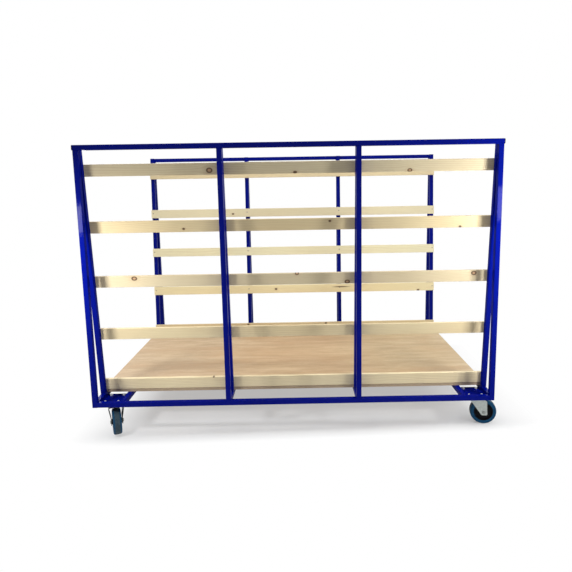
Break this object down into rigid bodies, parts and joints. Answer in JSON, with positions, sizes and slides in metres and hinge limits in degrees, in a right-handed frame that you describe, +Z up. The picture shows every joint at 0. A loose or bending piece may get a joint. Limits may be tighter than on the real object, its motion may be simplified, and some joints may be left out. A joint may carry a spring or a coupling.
{
  "type": "glazing trolley",
  "caption": "Glass-carrying trolley with two upright tube side frames, leaning timber slats inside them, a plywood deck and swivel castors.",
  "frame": {"origin": "on the floor, under the middle of the trolley", "axes": "+X along the length towards the right end, +Y across from the front side to the rear side, +Z up"},
  "size_m": [2.5414, 1.6078, 1.75],
  "materials": {
    "frame_paint": "gloss ultramarine powder coat",
    "pine": "planed and left bare",
    "plywood": "sanded and left bare",
    "cap_plastic": "matt black moulding",
    "zinc": "bright zinc plate",
    "screw_steel": "dark oxide",
    "wheel_centre": "matt black moulding",
    "tyre_rubber": "smooth blue-grey rubber, tread rubbed greyer"
  },
  "bodies": {
    "frame": {"castor_ball_races": "zinc", "castor_bolts": "zinc", "castor_cross_tubes": "frame_paint", "castor_kingpins": "zinc", "castor_mount_plates": "frame_paint", "castor_nuts": "zinc", "castor_top_plates": "zinc", "deck": "plywood", "end_cross_tubes": "frame_paint", "front_bottom_rail": "frame_paint", "front_left_end_leg": "frame_paint", "front_left_end_post": "frame_paint", "front_left_mid_leg": "frame_paint", "front_left_mid_post": "frame_paint", "front_right_end_leg": "frame_paint", "front_right_end_post": "frame_paint", "front_right_mid_leg": "frame_paint", "front_right_mid_post": "frame_paint", "front_slat_1": "pine", "front_slat_2": "pine", "front_slat_3": "pine", "front_slat_4": "pine", "front_slat_5": "pine", "front_top_rail": "frame_paint", "mid_cross_tubes": "frame_paint", "rail_end_caps": "cap_plastic", "rear_bottom_rail": "frame_paint", "rear_left_end_leg": "frame_paint", "rear_left_end_post": "frame_paint", "rear_left_mid_leg": "frame_paint", "rear_left_mid_post": "frame_paint", "rear_right_end_leg": "frame_paint", "rear_right_end_post": "frame_paint", "rear_right_mid_leg": "frame_paint", "rear_right_mid_post": "frame_paint", "rear_slat_1": "pine", "rear_slat_2": "pine", "rear_slat_3": "pine", "rear_slat_4": "pine", "rear_slat_5": "pine", "rear_top_rail": "frame_paint", "slat_screws": "screw_steel"},
    "front_left_swivel": {"front_left_fork": "zinc", "front_left_axle": "zinc"},
    "front_left_wheel": {"front_left_rim": "wheel_centre", "front_left_tyre": "tyre_rubber"},
    "front_right_swivel": {"front_right_fork": "zinc", "front_right_axle": "zinc"},
    "front_right_wheel": {"front_right_rim": "wheel_centre", "front_right_tyre": "tyre_rubber"},
    "rear_right_swivel": {"rear_right_fork": "zinc", "rear_right_axle": "zinc"},
    "rear_right_wheel": {"rear_right_rim": "wheel_centre", "rear_right_tyre": "tyre_rubber"},
    "rear_left_swivel": {"rear_left_fork": "zinc", "rear_left_axle": "zinc"},
    "rear_left_wheel": {"rear_left_rim": "wheel_centre", "rear_left_tyre": "tyre_rubber"}
  },
  "joints": [
    {"name": "front_left_swivel", "type": "hinge", "parent": "frame", "child": "front_left_swivel", "pos_m": [-1.124, -0.66357, 0.171], "axis": [0, 0, 1], "continuous": true},
    {"name": "front_left_spin", "type": "hinge", "parent": "front_left_swivel", "child": "front_left_wheel", "pos_m": [-1.09716, -0.72386, 0.08], "axis": [0.9135, 0.4067, 0], "continuous": true},
    {"name": "front_right_swivel", "type": "hinge", "parent": "frame", "child": "front_right_swivel", "pos_m": [1.124, -0.66357, 0.171], "axis": [0, 0, 1], "continuous": true},
    {"name": "front_right_spin", "type": "hinge", "parent": "front_right_swivel", "child": "front_right_wheel", "pos_m": [1.18919, -0.67389, 0.08], "axis": [0.1564, 0.9877, 0], "continuous": true},
    {"name": "rear_right_swivel", "type": "hinge", "parent": "frame", "child": "rear_right_swivel", "pos_m": [1.124, 0.66357, 0.171], "axis": [0, 0, 1], "continuous": true},
    {"name": "rear_right_spin", "type": "hinge", "parent": "rear_right_swivel", "child": "rear_right_wheel", "pos_m": [1.09716, 0.72386, 0.08], "axis": [-0.9135, -0.4067, 0], "continuous": true},
    {"name": "rear_left_swivel", "type": "hinge", "parent": "frame", "child": "rear_left_swivel", "pos_m": [-1.124, 0.66357, 0.171], "axis": [0, 0, 1], "continuous": true},
    {"name": "rear_left_spin", "type": "hinge", "parent": "rear_left_swivel", "child": "rear_left_wheel", "pos_m": [-1.18919, 0.67389, 0.08], "axis": [-0.1564, -0.9877, 0], "continuous": true}
  ]
}
